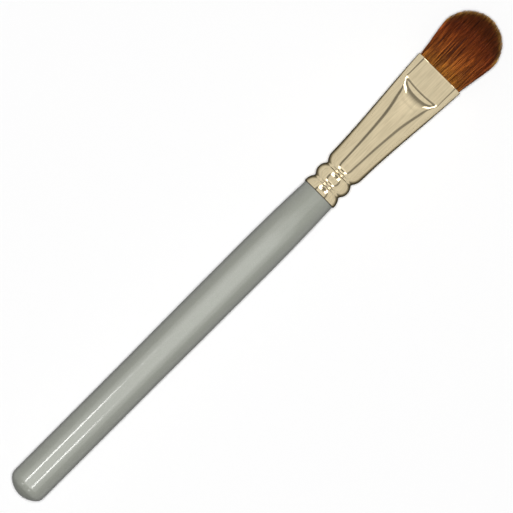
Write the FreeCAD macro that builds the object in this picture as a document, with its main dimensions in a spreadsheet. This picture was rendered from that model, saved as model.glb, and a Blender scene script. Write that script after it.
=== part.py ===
import FreeCAD, Part
import os
import re
import Sketcher
from FreeCAD import Placement, Rotation, Vector

# An eyeshadow brush: a turned handle, a crimped and flattened ferrule, and the hair bundle that it holds.
# It lies along X, the butt at -X and the hair at +X, with a broad side up and its lowest line on Z = 0.
# Each piece is drawn from the butt (X = 0) along the brush's axis (Y = Z = 0), and is placed at the end.

# Driving dimensions in millimetres, and one angle in degrees
SIZES = {
    # Handle
    "handle_length": 101.2,  # butt to the ferrule's edge
    "butt_depth": 2.6,  # of the shallow dome on the butt, before its corner is rounded
    "butt_corner": 2.5,
    "shank_radius": 4.82,
    "shank_end": 42.8,  # from the butt, where the straight shank begins to swell
    "belly_swell": 0.12,  # by which the belly is thicker than the shank
    "belly_place": 79.8,  # from the butt
    "tenon_length": 10.4,  # of the stub inside the ferrule
    "tenon_chamfer": 0.6,
    # Ferrule, lengthwise from its edge at the handle
    "ferrule_length": 40.8,
    "wall": 0.3,
    "rim_round": 0.12,  # of the outer edges at the handle and at the mouth
    "rim_land": 0.36,  # straight stretch at the edge, before the first bead falls away
    "bead_radius": 4.77,
    "groove_radius": 3.95,
    "groove_fillet": 0.45,
    "groove_one": 2.74,
    "groove_two": 6.87,
    "flare_start": 9.43,
    "flare_radius": 4.87,
    # Ferrule, sections of the flattened flare
    "middle_half_width": 5.44,
    "middle_crown": 4.15,
    "shoulder_reach": 8.5,  # from the shoulder's section to the mouth
    "shoulder_half_width": 6.32,
    "shoulder_crown": 3.05,
    "mouth_half_width": 6.88,
    "mouth_crown": 2.78,  # of the oval that the panels are pressed into
    # Ferrule, pressed panels on the two broad sides
    "panel_half_height": 2.0,
    "panel_length": 6.32,
    "panel_slope": 32,  # of the step up from the panel
    "panel_crease": 0.4,
    "panel_ridge": 7.0,
    "panel_lift": 0.16,  # of the ridge's top above the shoulder's crown
    "panel_fillet": 0.6,  # of the soft edge round each panel and its step
    # Hair bundle
    "hair_out": 18.0,  # from the mouth to the tip
    "hair_gap": 0.1,  # between the bundle and the ferrule's bore
    "tuft_half_width": 8.0,
    "tuft_half_height": 2.6,
    "spread_half_height": 2.35,  # halfway from the mouth to the widest place
    "tuft_dome": 8.1,  # lengthwise, from the widest place to the tip
    "tuft_recess": 1.0,  # inside the mouth, where the free tuft begins
    "root_depth": 19.8,  # from the mouth to the root's end
    "root_radius": 3.0,
    # Binding thread, round the tied waist of the bundle's root
    "waist_radius": 2.75,
    "waist_place": 2.6,  # from the root's end
    "thread_diameter": 0.35,
    "thread_pitch": 0.8,
    "thread_turns": 3,
    "thread_gap": 0.1,
    # Glue and resin
    "glue_gap": 0.1,  # between tenon and bore
    "glue_recess": 0.4,  # of the glue film's end behind the ferrule's edge
    "film": 0.02,  # free skin left round the glue and the resin
    "resin_behind": 2.5,  # behind the root's end
    "resin_over": 6.0,  # over the root
    "resin_gap": 0.08,  # between the resin and the bundle's root
}

# Places along the brush, and sizes that several pieces share
MOUTH = "(handle_length + ferrule_length)"
TIP = f"({MOUTH} + hair_out)"
FLARE = "(handle_length + flare_start)"
SHOULDER = f"({MOUTH} - shoulder_reach)"
PANEL = f"({MOUTH} - panel_length)"
TENON = "(handle_length + tenon_length)"
ROOT = f"({MOUTH} - root_depth)"
WAIST = f"({ROOT} + waist_place)"
WINDING = "(thread_pitch * thread_turns)"
WIDEST = f"({TIP} - tuft_dome)"
BORE = "(bead_radius - wall)"
HAIR = "(wall + hair_gap)"
FLARE_SLOPE = "((mouth_half_width - shoulder_half_width) / shoulder_reach)"
RECESS_WIDTH = f"(mouth_half_width - {HAIR} - {FLARE_SLOPE} * tuft_recess)"
CLEAR = "(2 * tuft_half_width)"  # outside every piece, measured from the axis

# Degrees round the tuft's dome, from its widest place towards the tip, where its ovals stand
DOME_TURNS = (0, 30, 55, 75)

# An edge is square to the axis where these shares of its length lie at one place, in millimetres
EDGE_SHARES = (0, 0.3, 0.6, 1)
SAME_PLACE = 1e-4

doc = FreeCAD.newDocument("eyeshadow_brush")
sheet = doc.addObject("Spreadsheet::Sheet", "Sizes")
for row, (alias, size) in enumerate(SIZES.items(), start=1):
    sheet.set(f"A{row}", alias)
    sheet.set(f"B{row}", str(size))
    sheet.setAlias(f"B{row}", alias)
doc.recompute()


def cells(text):
    """Return an expression in which each size's name has become its cell of the sheet."""
    return re.sub(r"[a-z_]+", lambda word: f"Sizes.{word[0]}" if word[0] in SIZES else word[0], text)


def number(text):
    """Return the present value of an expression."""
    return float(sheet.evalExpression(cells(text)))


def bind(item, field, text):
    """Tie a field of an object to an expression."""
    item.setExpression(field, cells(text))


def origin_plane(body, role):
    """Return one of a body's own origin planes."""
    return next(feature for feature in body.Origin.OriginFeatures if feature.Role == role)


def new_sketch(body, name, role):
    """Return a new sketch on one of a body's own origin planes."""
    sketch = body.newObject("Sketcher::SketchObject", name)
    sketch.AttachmentSupport = [(origin_plane(body, role), "")]
    sketch.MapMode = "FlatFace"
    return sketch


class Outline:
    """A closed outline in a body's lengthwise plane, drawn corner by corner and tied to the sheet."""

    def __init__(self, body, name, along, up):
        self.sketch = new_sketch(body, name, "XZ_Plane")
        self.start = (along, up)
        self.corner = self.start
        self.ends = []

    def line_to(self, along, up):
        """Draw a straight edge to the next corner."""
        start, end = self.points(along, up)
        edge = self.sketch.addGeometry(Part.LineSegment(start, end), False)
        self.join(edge, 1, 2, along, up)

    def arc_to(self, along, up, level):
        """Draw an arc to the next corner, parallel to the brush's axis at its "start" or its "end"."""
        start, end = self.points(along, up)
        flat, other = (start, end) if level == "start" else (end, start)
        rise = other.y - flat.y
        centre = flat + Vector(0, ((other.x - flat.x) ** 2 + rise**2) / (2 * rise), 0)
        edge, first, last = self.add_arc(start, end, centre)
        flat_end = first if level == "start" else last
        self.sketch.addConstraint(Sketcher.Constraint("Vertical", edge, 3, edge, flat_end))
        self.join(edge, first, last, along, up)

    def dome_to(self, along, up):
        """Draw an arc to the next corner that crosses the brush's axis squarely at its start."""
        start, end = self.points(along, up)
        depth = end.x - start.x
        centre = start + Vector((depth**2 + end.y**2) / (2 * depth), 0, 0)
        edge, first, last = self.add_arc(start, end, centre)
        self.sketch.addConstraint(Sketcher.Constraint("PointOnObject", edge, 3, -1))
        self.join(edge, first, last, along, up)

    def close(self):
        """Draw the last straight edge, back to the first corner, and return the sketch."""
        start, end = self.points(*self.start)
        edge = self.sketch.addGeometry(Part.LineSegment(start, end), False)
        self.meet(edge, 1)
        first_edge, first_end = self.ends[0][:2]
        self.sketch.addConstraint(Sketcher.Constraint("Coincident", edge, 2, first_edge, first_end))
        self.tie(edge, 2, *self.start)
        return self.sketch

    def points(self, along, up):
        """Return the present corner and the next one as points of the sketch."""
        here = Vector(number(self.corner[0]), number(self.corner[1]), 0)
        return here, Vector(number(along), number(up), 0)

    def add_arc(self, start, end, centre):
        """Add the shorter arc about a centre, and return it with the numbers of its two ends."""
        reach = (start - centre) + (end - centre)
        middle = centre + reach.normalize() * (start - centre).Length
        edge = self.sketch.addGeometry(Part.Arc(start, middle, end), False)
        begins = self.sketch.getPoint(edge, 1).distanceToPoint(start)
        ends = self.sketch.getPoint(edge, 1).distanceToPoint(end)
        return (edge, 1, 2) if begins < ends else (edge, 2, 1)

    def join(self, edge, first, last, along, up):
        """Join an edge to the one before it, and tie its far end to the sheet."""
        self.meet(edge, first)
        self.tie(edge, last, along, up)
        self.ends.append((edge, first, last))
        self.corner = (along, up)

    def meet(self, edge, first):
        """Make an edge begin where the one before it ends."""
        if self.ends:
            before, last = self.ends[-1][0], self.ends[-1][2]
            self.sketch.addConstraint(Sketcher.Constraint("Coincident", before, last, edge, first))

    def tie(self, edge, end, along, up):
        """Tie a corner's two coordinates to the sheet."""
        for kind, axis, text in (("DistanceX", -2, along), ("DistanceY", -1, up)):
            if text == "0":
                self.sketch.addConstraint(Sketcher.Constraint("PointOnObject", edge, end, axis))
                continue
            rule = Sketcher.Constraint(kind, -1, 1, edge, end, number(text))
            bind(self.sketch, f"Constraints[{self.sketch.addConstraint(rule)}]", text)


def draw_crimped(outline, inset, last_radius):
    """Go along the crimped collar, from its edge over two beads and grooves to the flare's start."""
    crown = f"bead_radius - {inset}"
    groove = f"groove_radius - {inset}"
    outline.line_to("handle_length + rim_land", crown)
    outline.arc_to("handle_length + groove_one", groove, level="start")
    outline.arc_to("handle_length + (groove_one + groove_two) / 2", crown, level="end")
    outline.arc_to("handle_length + groove_two", groove, level="start")
    outline.arc_to(FLARE, last_radius, level="end")


def revolve(body, sketch):
    """Turn a sketch once round the brush's axis."""
    turned = body.newObject("PartDesign::Revolution", f"{body.Name}_turned")
    turned.Profile = sketch
    turned.ReferenceAxis = (sketch, ["H_Axis"])
    turned.Angle = 360
    doc.recompute()
    return turned


def points_of(edge):
    """Return some points along an edge, from end to end."""
    return [edge.valueAt(edge.getParameterByLength(share * edge.Length)) for share in EDGE_SHARES]


def square_edges(body, places):
    """Return the names of the edges that stand square to the axis at given places along the brush."""
    stations = [number(place) for place in places]
    names = []
    for index, edge in enumerate(body.Shape.Edges, start=1):
        along = [point.x for point in points_of(edge)]
        if any(max(abs(x - station) for x in along) < SAME_PLACE for station in stations):
            names.append(f"Edge{index}")
    return names


def panel_edges(body):
    """Return the names of the lengthwise edges of the two pressed panels."""
    height, half_length = number("panel_half_height"), number("panel_length / 2")
    names = []
    for index, edge in enumerate(body.Shape.Edges, start=1):
        points = points_of(edge)
        level = all(abs(abs(point.z) - height) < SAME_PLACE for point in points)
        if level and abs(points[-1].x - points[0].x) > half_length:
            names.append(f"Edge{index}")
    return names


def round_edges(body, names, fillet):
    """Round some edges of a body, and those that run on smoothly from them."""
    rounded = body.newObject("PartDesign::Fillet", f"{body.Name}_{fillet}")
    rounded.Base = (rounded.BaseFeature, names)
    bind(rounded, "Radius", fillet)
    doc.recompute()


def section(body, name, along, half_width, half_height):
    """Return a sketch of an oval, or of a circle where both halves are one size, square to the axis."""
    sketch = new_sketch(body, name, "YZ_Plane")
    bind(sketch, "AttachmentOffset.Base.z", along)
    if half_width == half_height:
        sketch.addGeometry(Part.Circle(Vector(), Vector(0, 0, 1), number(half_width)), False)
        rules = [("Radius", 0, half_width)]
    else:
        sketch.addGeometry(Part.Ellipse(Vector(), number(half_width), number(half_height)), False)
        sketch.exposeInternalGeometry(0)
        sketch.addConstraint(Sketcher.Constraint("Horizontal", 1))
        rules = [("Distance", 1, f"2 * ({half_width})"), ("Distance", 2, f"2 * ({half_height})")]
    sketch.addConstraint(Sketcher.Constraint("Coincident", 0, 3, -1, 1))
    for kind, edge, text in rules:
        rule = sketch.addConstraint(Sketcher.Constraint(kind, edge, number(text)))
        bind(sketch, f"Constraints[{rule}]", text)
    return sketch


def press_panels(body, inset):
    """Press the flat panels into a flared body's two broad sides, with a rounded step behind each."""
    crease, ridge = f"(panel_crease + {inset})", f"(panel_ridge - {inset})"
    flat, top = f"panel_half_height - {inset}", f"shoulder_crown + panel_lift - {inset}"
    turn = "(1 - cos(panel_slope))"
    climb = f"({top} - ({flat}) - ({crease} + {ridge}) * {turn})"
    step_foot = f"{PANEL} - {crease} * sin(panel_slope)"
    step_head = f"{step_foot} - {climb} / tan(panel_slope)"
    jaw = Outline(body, f"{body.Name}_jaw", f"{MOUTH} + wall", CLEAR)
    jaw.line_to(f"{MOUTH} + wall", flat)
    jaw.line_to(PANEL, flat)
    jaw.arc_to(step_foot, f"{flat} + {crease} * {turn}", level="start")
    jaw.line_to(step_head, f"{top} - {ridge} * {turn}")
    jaw.arc_to(f"{step_head} - {ridge} * sin(panel_slope)", top, level="end")
    jaw.line_to(f"{step_head} - {ridge} * sin(panel_slope)", CLEAR)
    before = body.Shape.Volume
    pressed = body.newObject("PartDesign::Pocket", f"{body.Name}_pressed")
    pressed.Profile = jaw.close()
    pressed.Type = "ThroughAll"
    pressed.SideType = "Symmetric"
    both = body.newObject("PartDesign::Mirrored", f"{body.Name}_both_sides")
    both.Originals = [pressed]
    both.MirrorPlane = (origin_plane(body, "XY_Plane"), [""])
    body.Tip = both
    doc.recompute()
    if not body.Shape.Volume < before:
        raise RuntimeError(f"{body.Name}: the panels took nothing away")


def ferrule_form(name, inset):
    """Return the ferrule's outside, drawn in by an inset, as one filled body."""
    body = doc.addObject("PartDesign::Body", name)
    collar = Outline(body, f"{name}_collar", "handle_length", "0")
    collar.line_to("handle_length", f"bead_radius - {inset}")
    draw_crimped(collar, inset, f"flare_radius - {inset}")
    collar.line_to(FLARE, "0")
    revolve(body, collar.close())
    grooves = ["handle_length + groove_one", "handle_length + groove_two"]
    round_edges(body, square_edges(body, grooves), "groove_fillet")
    ovals = [
        section(body, f"{name}_neck", FLARE, f"flare_radius - {inset}", f"flare_radius - {inset}"),
        section(body, f"{name}_middle", f"({FLARE} + {SHOULDER}) / 2",
                f"middle_half_width - {inset}", f"middle_crown - {inset}"),
        section(body, f"{name}_shoulder", SHOULDER,
                f"shoulder_half_width - {inset}", f"shoulder_crown - {inset}"),
        section(body, f"{name}_mouth", MOUTH, f"mouth_half_width - {inset}", f"mouth_crown - {inset}"),
    ]
    flare = body.newObject("PartDesign::AdditiveLoft", f"{name}_flare")
    flare.Profile = ovals[0]
    flare.Sections = ovals[1:]
    doc.recompute()
    press_panels(body, inset)
    return body


def plug(name, start, inset):
    """Return a turned body that fills the crimped collar up to the tenon's end, drawn in by an inset."""
    body = doc.addObject("PartDesign::Body", name)
    outline = Outline(body, f"{name}_outline", start, "0")
    outline.line_to(start, f"bead_radius - {inset}")
    draw_crimped(outline, inset, f"bead_radius - {inset}")
    outline.line_to(TENON, f"bead_radius - {inset}")
    outline.line_to(TENON, "0")
    revolve(body, outline.close())
    return body


def ovals_loft(name, stations, straight):
    """Return a solid through ovals square to the axis, straight between them or smooth over them all."""
    across = Rotation(Vector(0, 1, 0), Vector(0, 0, 1), Vector(1, 0, 0), "XYZ")
    ovals = []
    for index, (along, half_width, half_height) in enumerate(stations):
        if half_width == "0":
            oval = doc.addObject("Part::Vertex", f"{name}_point")
        else:
            oval = doc.addObject("Part::Ellipse", f"{name}_oval_{index}")
            bind(oval, "MajorRadius", half_width)
            bind(oval, "MinorRadius", half_height)
            oval.Placement = Placement(Vector(), across)
        bind(oval, "Placement.Base.x", along)
        ovals.append(oval)
    loft = doc.addObject("Part::Loft", name)
    loft.Sections = ovals
    loft.Solid = True
    loft.Ruled = straight
    doc.recompute()
    return loft


def boolean(kind, name, base, tool):
    """Return the cut, fuse or common of two objects."""
    result = doc.addObject(f"Part::{kind}", name)
    result.Base = base
    result.Tool = tool
    doc.recompute()
    return result


def slice_between(name, base, start, end):
    """Return the stretch of an object between two places along the brush."""
    box = doc.addObject("Part::Box", f"{name}_stretch")
    bind(box, "Length", f"{end} - {start}")
    for field in ("Width", "Height"):
        bind(box, field, f"2 * {CLEAR}")
    bind(box, "Placement.Base.x", start)
    for field in ("y", "z"):
        bind(box, f"Placement.Base.{field}", f"-{CLEAR}")
    return boolean("Common", name, base, box)


def make_handle():
    """Return the turned handle with its tenon, which is shaped by the two crimps."""
    body = doc.addObject("PartDesign::Body", "handle")
    belly = "shank_radius + belly_swell"
    tenon_inset = "(wall + glue_gap)"
    tenon = f"bead_radius - {tenon_inset}"
    outline = Outline(body, "handle_outline", "0", "0")
    outline.dome_to("butt_depth", "shank_radius")
    outline.line_to("shank_end", "shank_radius")
    outline.arc_to("belly_place", belly, level="end")
    outline.arc_to("handle_length", BORE, level="start")
    outline.line_to("handle_length", tenon)
    draw_crimped(outline, tenon_inset, tenon)
    outline.line_to(f"{TENON} - tenon_chamfer", tenon)
    outline.line_to(TENON, f"{tenon} - tenon_chamfer")
    outline.line_to(TENON, "0")
    revolve(body, outline.close())
    round_edges(body, square_edges(body, ["butt_depth"]), "butt_corner")
    return body


def make_tenon_glue():
    """Return the glue film between the tenon and the ferrule."""
    start = "handle_length + glue_recess / 2"
    outside = plug("glue_outside", start, "(wall + film)")
    inside = plug("glue_inside", start, "(wall + glue_gap - film)")
    sleeve = boolean("Cut", "glue_sleeve", outside, inside)
    return slice_between("tenon_glue", sleeve, "(handle_length + glue_recess)", f"({TENON} - glue_recess)")


def make_ferrule():
    """Return the ferrule, one drawn tube of even wall."""
    outside = ferrule_form("ferrule_outside", "0")
    round_edges(outside, panel_edges(outside), "panel_fillet")
    round_edges(outside, square_edges(outside, ["handle_length", MOUTH]), "rim_round")
    return boolean("Cut", "ferrule", outside, ferrule_form("ferrule_bore", "wall"))


def root_stations(grow):
    """Return the ovals of the bundle's root, from its tied round end to the free tuft's start."""
    mouth_height = f"panel_half_height - {HAIR} + {grow}"
    return [
        (f"{ROOT} - {grow}", f"root_radius + {grow}", f"root_radius + {grow}"),
        (f"{WAIST} - {WINDING} / 2 - thread_gap", f"waist_radius + {grow}", f"waist_radius + {grow}"),
        (f"{WAIST} + {WINDING} / 2 + thread_gap", f"waist_radius + {grow}", f"waist_radius + {grow}"),
        (f"({WAIST} + {PANEL}) / 2", f"middle_half_width - 2 * {HAIR} + {grow}",
         f"shoulder_crown - 2 * {HAIR} + {grow}"),
        (PANEL, f"shoulder_half_width - {HAIR} + {grow}", mouth_height),
        (f"{MOUTH} - tuft_recess", f"{RECESS_WIDTH} + {grow}", mouth_height),
    ]


def make_hair_root():
    """Return the bound root of the bundle, round where it is tied and flat at the mouth."""
    return ovals_loft("hair_root", root_stations("0"), straight=True)


def make_hair_tuft():
    """Return the free tuft, which spreads from the mouth and ends in a half-round dome."""
    mouth_width, mouth_height = f"mouth_half_width - {HAIR}", f"panel_half_height - {HAIR}"
    stations = [
        (f"{MOUTH} - tuft_recess", RECESS_WIDTH, mouth_height),
        (MOUTH, mouth_width, mouth_height),
        (f"({MOUTH} + {WIDEST}) / 2", f"({mouth_width} + tuft_half_width) / 2", "spread_half_height"),
    ]
    for turn in DOME_TURNS:
        stations.append((
            f"{WIDEST} + tuft_dome * sin({turn})",
            f"tuft_half_width * cos({turn})",
            f"tuft_half_height * cos({turn})",
        ))
    stations.append((TIP, "0", "0"))
    return ovals_loft("hair_tuft", stations, straight=False)


def make_binding_thread():
    """Return the thread wound round the waist of the bundle's root, still along its own Z axis."""
    winding = doc.addObject("Part::Helix", "thread_winding")
    winding_radius = "waist_radius + thread_gap + thread_diameter / 2"
    bind(winding, "Radius", winding_radius)
    bind(winding, "Pitch", "thread_pitch")
    bind(winding, "Height", WINDING)
    end = doc.addObject("Part::Circle", "thread_end")
    bind(end, "Radius", "thread_diameter / 2")
    end.Placement = Placement(Vector(), Rotation(Vector(1, 0, 0), 90))
    bind(end, "Placement.Base.x", winding_radius)
    thread = doc.addObject("Part::Sweep", "binding_thread")
    thread.Sections = [end]
    thread.Spine = (winding, ["Edge1"])
    thread.Solid = True
    thread.Frenet = True
    doc.recompute()
    return thread


def make_resin_plug():
    """Return the resin that fills the ferrule round the tied root, with room for root and thread."""
    filling = slice_between("resin_filling", ferrule_form("resin_form", "(wall + film)"),
                            f"({ROOT} - resin_behind)", f"({ROOT} + resin_over)")
    root_room = ovals_loft("resin_root", root_stations("resin_gap"), straight=True)
    socket = boolean("Cut", "resin_socket", filling, root_room)
    channel = doc.addObject("Part::Cylinder", "resin_channel")
    channel.Placement = Placement(Vector(), Rotation(Vector(0, 1, 0), 90))
    bind(channel, "Radius", "waist_radius + 2 * thread_gap + thread_diameter")
    bind(channel, "Height", f"{WINDING} + 2 * thread_diameter")
    bind(channel, "Placement.Base.x", f"{WAIST} - {WINDING} / 2 - thread_diameter")
    return boolean("Cut", "resin_plug", socket, channel)


def place(piece, along="0"):
    """Put a finished piece into the brush's own frame, centred lengthwise and resting on Z = 0."""
    bind(piece, "Placement.Base.x", f"{along} - {TIP} / 2")
    bind(piece, "Placement.Base.z", "shank_radius + belly_swell")


pieces = [
    make_handle(),
    make_tenon_glue(),
    make_ferrule(),
    make_hair_root(),
    make_hair_tuft(),
    make_resin_plug(),
]
for piece in pieces:
    place(piece)
thread = make_binding_thread()
thread.Placement = Placement(Vector(), Rotation(Vector(0, 1, 0), 90))
place(thread, f"{WAIST} - {WINDING} / 2")
pieces.append(thread)
doc.recompute()

for item in doc.Objects:
    if {"Invalid", "Error"} & set(item.State):
        raise RuntimeError(f"{item.Label} failed: {item.State}")
for piece in pieces:
    if piece.Shape.isNull() or not piece.Shape.isValid() or len(piece.Shape.Solids) != 1:
        raise RuntimeError(f"{piece.Label} is not one sound solid")

os.makedirs("parts", exist_ok=True)
for piece in pieces:
    piece.Shape.exportStep(f"parts/{piece.Label}.step")
    box = piece.Shape.optimalBoundingBox()
    print(f"{piece.Label}: {piece.Shape.Volume:.1f} mm3, X {box.XMin:.2f} to {box.XMax:.2f}, "
          f"Y {box.YMin:.2f} to {box.YMax:.2f}, Z {box.ZMin:.2f} to {box.ZMax:.2f}")
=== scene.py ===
import logging
import math
import random
from dataclasses import dataclass
from enum import Enum
from typing import ClassVar

import bmesh
import bpy
import numpy as np
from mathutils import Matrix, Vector


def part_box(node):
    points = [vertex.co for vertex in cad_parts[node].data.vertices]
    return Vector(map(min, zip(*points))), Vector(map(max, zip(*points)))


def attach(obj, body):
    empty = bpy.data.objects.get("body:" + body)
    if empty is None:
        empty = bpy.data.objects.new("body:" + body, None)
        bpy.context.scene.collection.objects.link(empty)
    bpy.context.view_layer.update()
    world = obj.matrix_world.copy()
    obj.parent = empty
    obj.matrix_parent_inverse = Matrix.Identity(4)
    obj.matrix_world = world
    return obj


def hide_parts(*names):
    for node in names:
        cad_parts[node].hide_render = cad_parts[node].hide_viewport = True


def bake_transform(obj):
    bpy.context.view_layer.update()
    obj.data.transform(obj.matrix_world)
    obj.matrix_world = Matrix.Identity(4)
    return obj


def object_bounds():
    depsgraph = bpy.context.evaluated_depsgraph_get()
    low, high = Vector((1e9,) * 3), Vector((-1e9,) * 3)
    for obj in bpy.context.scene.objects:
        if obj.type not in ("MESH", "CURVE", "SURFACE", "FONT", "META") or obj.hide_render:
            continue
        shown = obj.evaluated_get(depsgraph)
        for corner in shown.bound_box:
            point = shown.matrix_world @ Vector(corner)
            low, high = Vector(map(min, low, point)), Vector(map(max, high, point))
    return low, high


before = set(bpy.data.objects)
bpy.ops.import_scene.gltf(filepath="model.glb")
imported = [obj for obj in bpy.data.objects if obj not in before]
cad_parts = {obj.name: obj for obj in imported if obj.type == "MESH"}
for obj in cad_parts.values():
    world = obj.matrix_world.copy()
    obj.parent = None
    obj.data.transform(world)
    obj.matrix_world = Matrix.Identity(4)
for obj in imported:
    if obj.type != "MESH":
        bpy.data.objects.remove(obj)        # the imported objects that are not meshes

MM = 0.001
CAD_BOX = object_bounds()
HARD_EDGE = math.radians(25)
SAME_PLACE = 1e-6 * MM
LOG = logging.getLogger("eyeshadow_brush")

Colour = tuple[float, float, float]
Pair = tuple[float, float]
Socket = bpy.types.NodeSocket
Value = Socket | float | tuple[float, ...]
Stops = tuple[tuple[float, Colour], ...]


def grey(level: float) -> Colour:
    """Returns the grey of one level."""
    return (level, level, level)


def greys(*stops: Pair) -> Stops:
    """Returns the stops of a grey ramp, each given as its place and level."""
    return tuple((place, grey(level)) for place, level in stops)


# soft noise lies mostly between these two
NOISE_LOW = 0.3
NOISE_HIGH = 0.7
WHITE = grey(1.0)


class Body(Enum):
    """The two bodies of the frame that pieces ride on."""

    BRUSH = "brush"
    TUFT = "tuft"


class Slot(Enum):
    """The material slots of the record."""

    LACQUER = "lacquer"
    PLATING = "plating"
    HAIR = "hair"
    RESIN = "resin"
    THREAD = "thread"
    GLUE = "glue"


class Side(Enum):
    """The two sides of the brush that a strip lamp can hang over."""

    LEFT = 1.0
    RIGHT = -1.0


class Nodes:
    """A node tree in the making."""

    def __init__(self, tree: bpy.types.NodeTree) -> None:
        """Takes the tree to work on.

        Args:
            tree: The tree of a material or a world.
        """
        self.nodes = tree.nodes
        self.links = tree.links

    def add(self, kind: str, **settings: str) -> bpy.types.Node:
        """Adds a node.

        Args:
            kind: The node's type.
            **settings: Its options, such as its operation.

        Returns:
            The node.
        """
        node = self.nodes.new(kind)
        for name, value in settings.items():
            setattr(node, name, value)
        return node

    def give(self, socket: Socket, value: Value) -> None:
        """Gives an input its value, or the output that feeds it.

        Args:
            socket: The input.
            value: An output, a number, a vector or a colour.
        """
        if isinstance(value, bpy.types.NodeSocket):
            self.links.new(value, socket)
        elif socket.type == "RGBA":
            socket.default_value = (*value, 1.0)
        else:
            socket.default_value = value

    def math(self, operation: str, first: Value, second: Value = 0.0) -> Socket:
        """Works out a number.

        Args:
            operation: What is done with the two numbers.
            first: The first number.
            second: The second number, where the operation has one.

        Returns:
            The result.
        """
        node = self.add("ShaderNodeMath", operation=operation)
        self.give(node.inputs[0], first)
        self.give(node.inputs[1], second)
        return node.outputs[0]

    def split(self, vector: Socket) -> tuple[Socket, Socket, Socket]:
        """Splits a vector.

        Args:
            vector: The vector.

        Returns:
            Its three numbers.
        """
        node = self.add("ShaderNodeSeparateXYZ")
        self.links.new(vector, node.inputs["Vector"])
        return node.outputs["X"], node.outputs["Y"], node.outputs["Z"]

    def mix(self, factor: Value, first: Value, second: Value, blend: str = "MIX") -> Socket:
        """Mixes two colours.

        Args:
            factor: The share of the second colour.
            first: The first colour.
            second: The second colour.
            blend: The way that they are mixed.

        Returns:
            The mixed colour.
        """
        node = self.add("ShaderNodeMix", data_type="RGBA", blend_type=blend)
        self.give(node.inputs["Factor"], factor)
        colours = [socket for socket in node.inputs if socket.type == "RGBA"]
        self.give(colours[0], first)
        self.give(colours[1], second)
        return next(socket for socket in node.outputs if socket.type == "RGBA")

    def multiply(self, first: Value, second: Value) -> Socket:
        """Returns the product of two colours."""
        return self.mix(1.0, first, second, "MULTIPLY")

    def by_ray(self, camera: Value, gloss: Value, other: Value) -> Socket:
        """Shows each kind of ray its own colour.

        Args:
            camera: The colour that the camera sees.
            gloss: The colour that reflections show.
            other: The colour that lights dull surfaces.

        Returns:
            The colour for the ray at hand.
        """
        path = self.add("ShaderNodeLightPath")
        mirrored = self.math("MAXIMUM", path.outputs["Is Glossy Ray"], path.outputs["Is Transmission Ray"])
        return self.mix(path.outputs["Is Camera Ray"], self.mix(mirrored, other, gloss), camera)

    def ramp(self, factor: Socket, stops: Stops) -> Socket:
        """Turns a number into a colour.

        Args:
            factor: The number, from 0 to 1.
            stops: The places and colours of the ramp.

        Returns:
            The colour.
        """
        node = self.add("ShaderNodeValToRGB")
        elements = node.color_ramp.elements
        while len(elements) < len(stops):
            elements.new(1.0)
        for element, (position, colour) in zip(elements, stops):
            element.position = position
            element.color = (*colour, 1.0)
        self.links.new(factor, node.inputs["Fac"])
        return node.outputs["Color"]

    def span(self, factor: Socket, low: float, high: float) -> Socket:
        """Spreads a number from 0 to 1 over another range.

        Args:
            factor: The number.
            low: What 0 becomes.
            high: What 1 becomes.

        Returns:
            The number in its new range.
        """
        node = self.add("ShaderNodeMapRange")
        node.inputs["To Min"].default_value = low
        node.inputs["To Max"].default_value = high
        self.links.new(factor, node.inputs["Value"])
        return node.outputs["Result"]


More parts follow.
